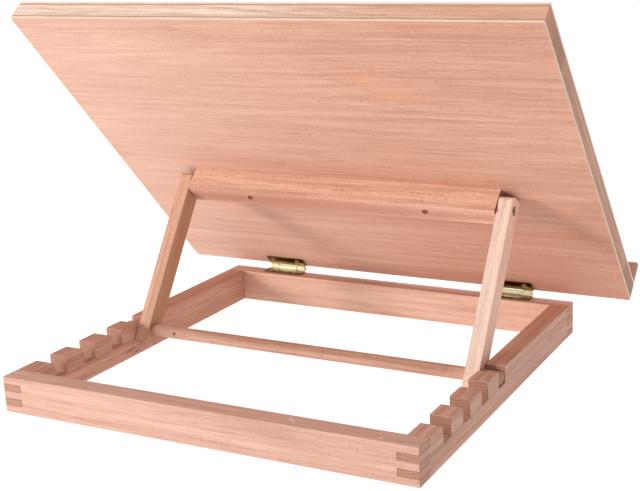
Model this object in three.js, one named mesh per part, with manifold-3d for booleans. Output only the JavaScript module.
// Folding tabletop artist easel. A box frame with finger-jointed corners carries a drawing
// board on two butt hinges. A swinging strut props the board up: its crossbar drops into one
// of four pairs of notches in the side rails. Millimetres, +Z up. The drawing side faces -Y,
// the right-hand side of a person at the board is +X, and the object stands on z = 0.

import * as THREE from 'three';
import { mergeVertices } from 'three/addons/utils/BufferGeometryUtils.js';
import Module from 'manifold-3d';

const wasm = await Module();
wasm.setup();

// ---- Driving dimensions ------------------------------------------------------------------

// Clearance between neighbouring pieces, and the thinner glue line of the finger joints.
const GAP = 0.3;
const GLUE = 0.15;

const FRAME = { width: 326, depth: 301, height: 26.5, rail: 15, fingers: 5 };

// Notches in the side rails. "first" is the centre of the one nearest the hinges. Their top
// corners are rounded, the ones further from the hinges more so.
const NOTCH = { count: 4, first: 163, pitch: 32, width: 12, depth: 12.5, backRound: 3, frontRound: 1.2 };

// The board is a skin on each side of a core frame of rails and stiles.
const BOARD = { width: 420, height: 318, skin: 3, core: 11 };
const CORE = { topRail: 45, bottomRail: 36, stile: 36, midRail: 44 };

// Strip along the bottom of the drawing side, which stops the paper from sliding off.
const LEDGE = { reach: 17, thickness: 6.5 };

// Batten across the back of the board, which holds the strut. "centre" is its height up the
// board from the bottom edge, and "screwX" its two screws' distance from the middle.
const BATTEN = { length: 271, depth: 20, height: 17, centre: 133, screwX: 78, counterbore: 7 };

// Swinging strut: two legs and a crossbar. "standOff" is how far the pivot lies behind the
// board's back face, and "length" runs from the pivot to the crossbar's axis. The legs reach
// "headReach" beyond the pivot and "footReach" beyond the crossbar's axis.
const STRUT = {
  length: 124.4,
  standOff: 12.6,
  legInner: 136.7,
  legThickness: 11,
  legWidth: 15,
  headReach: 9.6,
  headBackRound: 5,
  headFrontRound: 2.5,
  footReach: 11.3,
  footRound: 2.5,
  crossbarRadius: 4.8,
  crossbarLength: 325,
  crossbarChamfer: 0.6,
};

// Butt hinges. The pin lies "outside" in front of the frame and "above" the front rail's top,
// and the board's bottom edge lies "edge" up the board from it.
const HINGE = {
  centreX: 109.4,
  width: 37.5,
  barrel: 35.6,
  outside: 2,
  above: 2.5,
  edge: 1.7,
  leafReach: 12.8,
  leafThickness: 0.9,
  knuckleRadius: 1.95,
  knuckleChamfer: 0.2,
  boreRadius: 1.2,
  pinRadius: 0.9,
  middleKnuckle: 18,
  screwX: 12.2,
  screwReach: 8.2,
};

// Countersunk screws for the hinge leaves and the batten, and pan-head screws for the pivots.
const LEAF_SCREW = { head: 2.7, rim: 0.2, dome: 0.5, shank: 1.5, length: 12, slot: 3.2 };
const BATTEN_SCREW = { head: 2.6, rim: 0.3, dome: 0, shank: 1.7, length: 26, slot: 3.2 };
const PIVOT_SCREW = { head: 3.1, rim: 0.7, dome: 1, shank: 1.9, length: 30, slot: 3.6 };
const PIVOT_COUNTERBORE = { radius: 3.8, depth: 2.6 };
const SCREW_SLOT = { width: 0.9, depth: 1.2 };
const SCREW_POINT = 3;
const DRIVER_SPACE = 2;
const PIN_CHAMFER = 0.3;
const MESH_TOLERANCE = 1e-4;

const ROUND_SEGMENTS = 32;
const SMALL_ROUND_SEGMENTS = 24;
const ARC_SEGMENTS = 12;
const CORNER_SEGMENTS = 6;

// ---- Materials ---------------------------------------------------------------------------

const finish = (metalness) => (color, roughness) =>
  new THREE.MeshStandardMaterial({ color, roughness, metalness });
const wood = finish(0);
const metal = finish(1);

const beech = () => wood(0xdcae8c, 0.6);
const beechWarm = () => wood(0xd9a273, 0.6);
const beechPale = () => wood(0xe4bfa2, 0.6);
const plywood = () => wood(0xe3b592, 0.55);
const coreWood = () => wood(0xcba27c, 0.7);
const brass = () => metal(0xb9a25a, 0.35);
const zincSteel = () => metal(0xc9c6bb, 0.4);

// ---- Geometry helpers --------------------------------------------------------------------

function toSolid(geometry) {
  const bare = geometry.index ? geometry.clone() : mergeVertices(geometry);
  bare.deleteAttribute('normal');
  bare.deleteAttribute('uv');
  const merged = mergeVertices(bare, MESH_TOLERANCE);
  const vertProperties = new Float32Array(merged.attributes.position.array);
  const triVerts = new Uint32Array(merged.index.array);
  return new wasm.Manifold(new wasm.Mesh({ numProp: 3, vertProperties, triVerts }));
}

function toGeometry(solid) {
  const { vertProperties, triVerts } = solid.getMesh();
  const geometry = new THREE.BufferGeometry();
  geometry.setAttribute('position', new THREE.BufferAttribute(vertProperties, 3));
  geometry.setIndex(new THREE.BufferAttribute(triVerts, 1));
  geometry.computeVertexNormals();
  return geometry;
}

function join(...geometries) {
  return toGeometry(geometries.map(toSolid).reduce((whole, next) => whole.add(next)));
}

function cut(geometry, tools) {
  return toGeometry(tools.map(toSolid).reduce((whole, tool) => whole.subtract(tool), toSolid(geometry)));
}

// Box between two corners.
function block(low, high) {
  const size = high.map((value, axis) => value - low[axis]);
  const middle = high.map((value, axis) => (value + low[axis]) / 2);
  return new THREE.BoxGeometry(...size).translate(...middle);
}

function outline(points) {
  return new THREE.Shape(points.map(([a, b]) => new THREE.Vector2(a, b)));
}

// Points on a quarter circle about (a, b), starting at an angle and turning anticlockwise.
function quarter(a, b, radius, start) {
  const points = [];
  for (let step = 0; step <= CORNER_SEGMENTS; step += 1) {
    const angle = start + (step / CORNER_SEGMENTS) * (Math.PI / 2);
    points.push([a + radius * Math.cos(angle), b + radius * Math.sin(angle)]);
  }
  return points;
}

// Extrudes a (y, z) outline along X, from x = from to x = to.
function alongX(shape, from, to) {
  const turn = new THREE.Matrix4().makeBasis(
    new THREE.Vector3(0, 1, 0),
    new THREE.Vector3(0, 0, 1),
    new THREE.Vector3(1, 0, 0),
  );
  const options = { depth: to - from, bevelEnabled: false, curveSegments: ARC_SEGMENTS };
  return new THREE.ExtrudeGeometry(shape, options).applyMatrix4(turn).translate(from, 0, 0);
}

// Extrudes an (x, z) outline along Y, from y = from to y = to.
function alongY(shape, from, to) {
  const options = { depth: to - from, bevelEnabled: false, curveSegments: ARC_SEGMENTS };
  return new THREE.ExtrudeGeometry(shape, options).rotateX(Math.PI / 2).translate(0, to, 0);
}

// Solid of revolution about Z from a closed (radius, z) profile that starts and ends at radius 0.
function turned(profile, segments) {
  const points = profile.map(([radius, z]) => new THREE.Vector2(radius, z));
  return new THREE.LatheGeometry(points, segments).rotateX(Math.PI / 2);
}

// Round bar along X with chamfered ends, centred on x = 0.
function barAlongX(radius, length, chamfer, segments) {
  const half = length / 2;
  const profile = [
    [0, -half],
    [radius - chamfer, -half],
    [radius, chamfer - half],
    [radius, half - chamfer],
    [radius - chamfer, half],
    [0, half],
  ];
  return turned(profile, segments).rotateY(Math.PI / 2);
}

const easel = new THREE.Group();

function addPiece(parent, name, geometry, material) {
  const mesh = new THREE.Mesh(geometry, material);
  mesh.name = name;
  parent.add(mesh);
  return mesh;
}

// ---- Screws ------------------------------------------------------------------------------

// Every screw points along -Z with the rim of its head at z = 0.
function countersunkScrew(spec) {
  const cone = spec.head - spec.shank;
  const profile = [
    [0, -spec.length],
    [spec.shank / 4, -spec.length],
    [spec.shank, SCREW_POINT - spec.length],
    [spec.shank, -spec.rim - cone],
    [spec.head, -spec.rim],
    [spec.head, 0],
    ...domeAbove(0, spec),
  ];
  return crossSlotted(turned(profile, SMALL_ROUND_SEGMENTS), spec);
}

function panHeadScrew(spec) {
  const profile = [
    [0, -spec.length],
    [spec.shank / 4, -spec.length],
    [spec.shank, SCREW_POINT - spec.length],
    [spec.shank, 0],
    [spec.head, 0],
    [spec.head, spec.rim],
    ...domeAbove(spec.rim, spec),
  ];
  return crossSlotted(turned(profile, SMALL_ROUND_SEGMENTS), spec);
}

// Profile of the head's dome from just inside its rim to its top, as a quarter ellipse.
function domeAbove(z, spec) {
  const steps = spec.dome > 0 ? [1, 2, 3] : [3];
  return steps.map((step) => {
    const angle = (step / 3) * (Math.PI / 2);
    return [spec.head * Math.cos(angle), z + spec.dome * Math.sin(angle)];
  });
}

function crossSlotted(screw, spec) {
  const top = new THREE.Box3().setFromBufferAttribute(screw.attributes.position).max.z;
  const reach = spec.slot / 2;
  const half = SCREW_SLOT.width / 2;
  const floor = top - SCREW_SLOT.depth;
  const ceiling = top + 1;
  const slotX = block([-reach, -half, floor], [reach, half, ceiling]);
  const slotY = block([-half, -reach, floor], [half, reach, ceiling]);
  return cut(screw, [join(slotX, slotY)]);
}

// Space that a countersunk screw needs, open above its head for the driver.
function countersunkHole(spec, open = DRIVER_SPACE) {
  const corner = GAP * Math.tan(Math.PI / 8);
  const rim = -spec.rim - corner;
  const profile = [
    [0, -spec.length - GAP],
    [spec.shank + GAP, -spec.length - GAP],
    [spec.shank + GAP, rim - (spec.head - spec.shank)],
    [spec.head + GAP, rim],
    [spec.head + GAP, open],
    [0, open],
  ];
  return turned(profile, SMALL_ROUND_SEGMENTS);
}

// ---- Base frame --------------------------------------------------------------------------

// The base group has y = 0 on the front rail's outer face and z = 0 on its underside.
const base = new THREE.Group();
easel.add(base);

const halfWidth = FRAME.width / 2;
const railInner = halfWidth - FRAME.rail;
const fingerHeight = FRAME.height / FRAME.fingers;

// Steps of a finger joint at one end of a rail, as (distance, z) points from the bottom up.
function fingerSteps(tip, shoulder, tipAtBottom, clearance) {
  const isTip = (level) => (level % 2 === 0) === tipAtBottom;
  const reach = (level) => (isTip(level) ? tip : shoulder);
  const steps = [[reach(0), 0]];
  for (let level = 1; level < FRAME.fingers; level += 1) {
    const z = level * fingerHeight + (isTip(level) ? clearance : -clearance);
    steps.push([reach(level - 1), z], [reach(level), z]);
  }
  steps.push([reach(FRAME.fingers - 1), FRAME.height]);
  return steps;
}

function crossRail(from) {
  const right = fingerSteps(halfWidth, railInner - GLUE, true, 0);
  const left = right.map(([x, z]) => [-x, z]).reverse();
  return alongY(outline([...right, ...left]), from, from + FRAME.rail);
}

function notchSteps(centre) {
  const { width, depth, backRound, frontRound } = NOTCH;
  const [front, back] = [centre - width / 2, centre + width / 2];
  const floor = FRAME.height - depth;
  return [
    ...quarter(back + backRound, FRAME.height - backRound, backRound, Math.PI / 2),
    [back, floor],
    [front, floor],
    ...quarter(front - frontRound, FRAME.height - frontRound, frontRound, 0),
  ];
}

function sideRail(from) {
  const back = fingerSteps(FRAME.depth, FRAME.depth - FRAME.rail - GLUE, false, GLUE);
  const front = fingerSteps(0, FRAME.rail + GLUE, false, GLUE).reverse();
  const notches = [];
  for (let index = NOTCH.count - 1; index >= 0; index -= 1) {
    notches.push(...notchSteps(NOTCH.first + index * NOTCH.pitch));
  }
  return alongX(outline([...back, ...notches, ...front]), from, from + FRAME.rail);
}

// ---- Hinges ------------------------------------------------------------------------------

const pinY = -HINGE.outside;
const pinZ = FRAME.height + HINGE.above;
const sides = [
  { side: 'left', sign: -1 },
  { side: 'right', sign: 1 },
];
const leafScrewXs = (sign) => [-1, 1].map((step) => sign * HINGE.centreX + step * HINGE.screwX);

const leafBottom = GAP - HINGE.above;
const leafTop = leafBottom + HINGE.leafThickness;

// Leaf of a hinge about a pin along X at the origin. It lies below the pin and reaches +Y.
// Its knuckles are the spans of x given from the hinge's middle. Each is rolled round the pin
// above a heel, where the sheet rises from the leaf.
function hingeLeaf(knuckles) {
  const { leafReach, knuckleRadius, knuckleChamfer, boreRadius, width, screwX, screwReach } = HINGE;
  const plateStart = knuckleRadius + 1.5 * GAP;
  const plate = block([-width / 2, plateStart, leafBottom], [width / 2, leafReach, leafTop]);
  const tongues = knuckles.map(([from, to]) => block([from, 0, leafBottom], [to, plateStart + 1, leafTop]));
  const heels = knuckles.map(([from, to]) => block([from, 0, leafBottom], [to, knuckleRadius, 0]));
  const rolls = knuckles.map(([from, to]) => {
    const roll = barAlongX(knuckleRadius, to - from, knuckleChamfer, ROUND_SEGMENTS);
    return roll.translate((from + to) / 2, 0, 0);
  });
  const bore = new THREE.CylinderGeometry(boreRadius, boreRadius, 2 * width, SMALL_ROUND_SEGMENTS);
  const holes = [-screwX, screwX].map((x) => countersunkHole(LEAF_SCREW).translate(x, screwReach, leafTop));
  return cut(join(plate, ...tongues, ...heels, ...rolls), [bore.rotateZ(Math.PI / 2), ...holes]);
}

const middleSpan = [[-HINGE.middleKnuckle / 2, HINGE.middleKnuckle / 2]];
const outerSpans = [
  [-HINGE.barrel / 2, -HINGE.middleKnuckle / 2 - GAP],
  [HINGE.middleKnuckle / 2 + GAP, HINGE.barrel / 2],
];

// ---- Base assembly -----------------------------------------------------------------------

const baseScrewY = pinY + HINGE.screwReach;
const baseScrewZ = pinZ + leafTop;
const baseScrewHoles = sides.flatMap(({ sign }) =>
  leafScrewXs(sign).map((x) => countersunkHole(LEAF_SCREW).translate(x, baseScrewY, baseScrewZ)),
);
const hingePin = () => barAlongX(HINGE.pinRadius, HINGE.barrel, PIN_CHAMFER, SMALL_ROUND_SEGMENTS);
const leafScrew = () => countersunkScrew(LEAF_SCREW);

addPiece(base, 'base_front_rail', cut(crossRail(0), baseScrewHoles), beech());
addPiece(base, 'base_back_rail', crossRail(FRAME.depth - FRAME.rail), beechPale());
addPiece(base, 'base_left_rail', sideRail(-halfWidth), beech());
addPiece(base, 'base_right_rail', sideRail(railInner), beech());

for (const { side, sign } of sides) {
  const leaf = addPiece(base, `hinge_${side}_base_leaf`, hingeLeaf(middleSpan), brass());
  leaf.position.set(sign * HINGE.centreX, pinY, pinZ);
  const pin = addPiece(base, `hinge_${side}_pin`, hingePin(), zincSteel());
  pin.position.set(sign * HINGE.centreX, pinY, pinZ);
  leafScrewXs(sign).forEach((x, index) => {
    const screw = addPiece(base, `hinge_${side}_base_screw_${index + 1}`, leafScrew(), zincSteel());
    screw.position.set(x, baseScrewY, baseScrewZ);
  });
}

// ---- Resting position --------------------------------------------------------------------

// The crossbar stands in the front pair of notches, against their front walls. The board's
// tilt and the strut's angle follow from the triangle of hinge pin, pivot and crossbar.
const restClearance = 0.2;
const crossbarY = NOTCH.first - NOTCH.width / 2 + GAP + STRUT.crossbarRadius;
const crossbarZ = FRAME.height - NOTCH.depth + restClearance + STRUT.crossbarRadius;
const boardBack = HINGE.above;
const pivotUp = HINGE.edge + BATTEN.centre;
const pivotOut = boardBack - STRUT.standOff;

const pinToPivot = Math.hypot(pivotUp, pivotOut);
const pinToCrossbar = Math.hypot(crossbarY - pinY, crossbarZ - pinZ);
const cosineAtPin =
  (pinToPivot ** 2 + pinToCrossbar ** 2 - STRUT.length ** 2) / (2 * pinToPivot * pinToCrossbar);
const crossbarBearing = Math.atan2(crossbarZ - pinZ, crossbarY - pinY);
const boardTilt = crossbarBearing + Math.acos(cosineAtPin) - Math.atan2(pivotOut, pivotUp);

const pivotY = pinY + pivotUp * Math.cos(boardTilt) - pivotOut * Math.sin(boardTilt);
const pivotZ = pinZ + pivotUp * Math.sin(boardTilt) + pivotOut * Math.cos(boardTilt);
const strutAngle = Math.atan2(crossbarZ - pivotZ, crossbarY - pivotY) - boardTilt;

// ---- Board -------------------------------------------------------------------------------

// The board group turns about the hinge pin. In it, +Y runs up the board and +Z from the back
// of the board to the drawing side.
const board = new THREE.Group();
board.position.set(0, pinY, pinZ);
board.rotation.x = boardTilt;
easel.add(board);

const halfBoard = BOARD.width / 2;
const bottomEdge = HINGE.edge;
const topEdge = bottomEdge + BOARD.height;
const coreBack = boardBack + BOARD.skin + GAP;
const coreFront = boardBack + BOARD.skin + BOARD.core - GAP;
const frontSkinBack = coreFront + GAP;
const boardFront = frontSkinBack + BOARD.skin;
const battenBack = boardBack - BATTEN.depth;
const battenScrewSeat = battenBack + BATTEN.counterbore;

// Screws in the board point towards the drawing side, so they are turned over.
const turnedOver = (geometry, x, y, z) => geometry.rotateX(Math.PI).translate(x, y, z);
const boardLeafHoles = sides.flatMap(({ sign }) =>
  leafScrewXs(sign).map((x) => turnedOver(countersunkHole(LEAF_SCREW), x, HINGE.screwReach, -leafTop)),
);
const battenScrewXs = [-BATTEN.screwX, BATTEN.screwX];
const battenHoles = battenScrewXs.map((x) =>
  turnedOver(countersunkHole(BATTEN_SCREW, BATTEN.counterbore + DRIVER_SPACE), x, pivotUp, battenScrewSeat),
);

const backSkin = block([-halfBoard, bottomEdge, boardBack], [halfBoard, topEdge, boardBack + BOARD.skin]);
const frontSkin = block([-halfBoard, bottomEdge, frontSkinBack], [halfBoard, topEdge, boardFront]);
addPiece(board, 'board_back_skin', cut(backSkin, [...boardLeafHoles, ...battenHoles]), plywood());
addPiece(board, 'board_front_skin', frontSkin, plywood());

function coreMember(x, y) {
  return block([x[0], y[0], coreBack], [x[1], y[1], coreFront]);
}

const bottomRailTop = bottomEdge + CORE.bottomRail;
const topRailBottom = topEdge - CORE.topRail;
const stileInner = halfBoard - CORE.stile;
const midRailX = [GAP - stileInner, stileInner - GAP];
const midRailY = [pivotUp - CORE.midRail / 2, pivotUp + CORE.midRail / 2];
const stileY = [bottomRailTop + GAP, topRailBottom - GAP];
const bottomRail = coreMember([-halfBoard, halfBoard], [bottomEdge, bottomRailTop]);
const topRail = coreMember([-halfBoard, halfBoard], [topRailBottom, topEdge]);

addPiece(board, 'board_core_bottom_rail', cut(bottomRail, boardLeafHoles), coreWood());
addPiece(board, 'board_core_top_rail', topRail, coreWood());
addPiece(board, 'board_core_left_stile', coreMember([-halfBoard, -stileInner], stileY), coreWood());
addPiece(board, 'board_core_right_stile', coreMember([stileInner, halfBoard], stileY), coreWood());
addPiece(board, 'board_core_mid_rail', cut(coreMember(midRailX, midRailY), battenHoles), coreWood());

// The ledge has a half-round outer edge.
function ledgeOutline() {
  const radius = LEDGE.thickness / 2;
  const roundCentre = boardFront + LEDGE.reach - radius;
  const shape = new THREE.Shape();
  shape.moveTo(bottomEdge, boardFront + GAP);
  shape.lineTo(bottomEdge + LEDGE.thickness, boardFront + GAP);
  shape.lineTo(bottomEdge + LEDGE.thickness, roundCentre);
  shape.absarc(bottomEdge + radius, roundCentre, radius, 0, Math.PI, false);
  shape.lineTo(bottomEdge, boardFront + GAP);
  return shape;
}

addPiece(board, 'ledge', alongX(ledgeOutline(), -halfBoard, halfBoard), beech());

for (const { side, sign } of sides) {
  const leafGeometry = hingeLeaf(outerSpans).scale(1, 1, -1);
  leafGeometry.index.array.reverse();
  leafGeometry.computeVertexNormals();
  const leaf = addPiece(board, `hinge_${side}_board_leaf`, leafGeometry, brass());
  leaf.position.x = sign * HINGE.centreX;
  leafScrewXs(sign).forEach((x, index) => {
    const screw = addPiece(board, `hinge_${side}_board_screw_${index + 1}`, leafScrew(), zincSteel());
    screw.rotation.x = Math.PI;
    screw.position.set(x, HINGE.screwReach, -leafTop);
  });
}

// ---- Batten ------------------------------------------------------------------------------

const legOuter = STRUT.legInner + STRUT.legThickness;
const pivotSeatX = legOuter - PIVOT_COUNTERBORE.depth + GAP;
const halfBatten = BATTEN.length / 2;

function pivotShankHole(sign) {
  const radius = PIVOT_SCREW.shank + GAP;
  const inner = pivotSeatX - PIVOT_SCREW.length - GAP;
  const length = legOuter + 1 - inner;
  const hole = new THREE.CylinderGeometry(radius, radius, length, SMALL_ROUND_SEGMENTS);
  return hole.rotateZ(Math.PI / 2).translate(sign * (inner + length / 2), 0, 0);
}

const battenBlock = block(
  [-halfBatten, pivotUp - BATTEN.height / 2, battenBack],
  [halfBatten, pivotUp + BATTEN.height / 2, boardBack - GAP],
);
const battenPivotHoles = sides.map(({ sign }) => pivotShankHole(sign).translate(0, pivotUp, pivotOut));
addPiece(board, 'batten', cut(battenBlock, [...battenHoles, ...battenPivotHoles]), beechWarm());

battenScrewXs.forEach((x, index) => {
  const screw = addPiece(board, `batten_screw_${index + 1}`, countersunkScrew(BATTEN_SCREW), zincSteel());
  screw.rotation.x = Math.PI;
  screw.position.set(x, pivotUp, battenScrewSeat);
});

for (const { side, sign } of sides) {
  const screw = addPiece(board, `pivot_screw_${side}`, panHeadScrew(PIVOT_SCREW), brass());
  screw.rotation.y = (sign * Math.PI) / 2;
  screw.position.set(sign * pivotSeatX, pivotUp, pivotOut);
}

// ---- Strut -------------------------------------------------------------------------------

// The strut group turns about the pivot. In it, +Y runs from the pivot to the crossbar.
const strut = new THREE.Group();
strut.position.set(0, pivotUp, pivotOut);
strut.rotation.x = strutAngle;
board.add(strut);

// Leg seen from the side, as (distance from the pivot, height) points, with rounded corners.
function legOutline() {
  const { headReach, headBackRound, headFrontRound, footReach, footRound } = STRUT;
  const half = STRUT.legWidth / 2;
  const foot = STRUT.length + footReach;
  return outline([
    ...quarter(foot - footRound, footRound - half, footRound, -Math.PI / 2),
    ...quarter(foot - footRound, half - footRound, footRound, 0),
    ...quarter(headBackRound - headReach, half - headBackRound, headBackRound, Math.PI / 2),
    ...quarter(headFrontRound - headReach, headFrontRound - half, headFrontRound, Math.PI),
  ]);
}

function legHole(radius, from, to, y) {
  const length = to - from;
  const hole = new THREE.CylinderGeometry(radius, radius, length, ROUND_SEGMENTS).rotateZ(Math.PI / 2);
  return hole.translate((from + to) / 2, y, 0);
}

function leg(sign) {
  const [from, to] = [sign * STRUT.legInner, sign * legOuter].sort((a, b) => a - b);
  const outerFace = sign * legOuter;
  const seat = sign * (legOuter - PIVOT_COUNTERBORE.depth);
  const counterbore = [seat, outerFace + sign].sort((a, b) => a - b);
  const crossbarHole = legHole(STRUT.crossbarRadius + GAP, from - 1, to + 1, STRUT.length);
  const headHole = legHole(PIVOT_COUNTERBORE.radius, ...counterbore, 0);
  return cut(alongX(legOutline(), from, to), [pivotShankHole(sign), headHole, crossbarHole]);
}

for (const { side, sign } of sides) {
  addPiece(strut, `${side}_leg`, leg(sign), beech());
}

const crossbar = addPiece(
  strut,
  'crossbar',
  barAlongX(STRUT.crossbarRadius, STRUT.crossbarLength, STRUT.crossbarChamfer, ROUND_SEGMENTS),
  beechPale(),
);
crossbar.position.y = STRUT.length;

// The origin is under the middle of the whole object, on the surface that it stands on.
const extent = new THREE.Box3().setFromObject(easel, true);
easel.position.y = -(extent.min.y + extent.max.y) / 2;

export default easel;
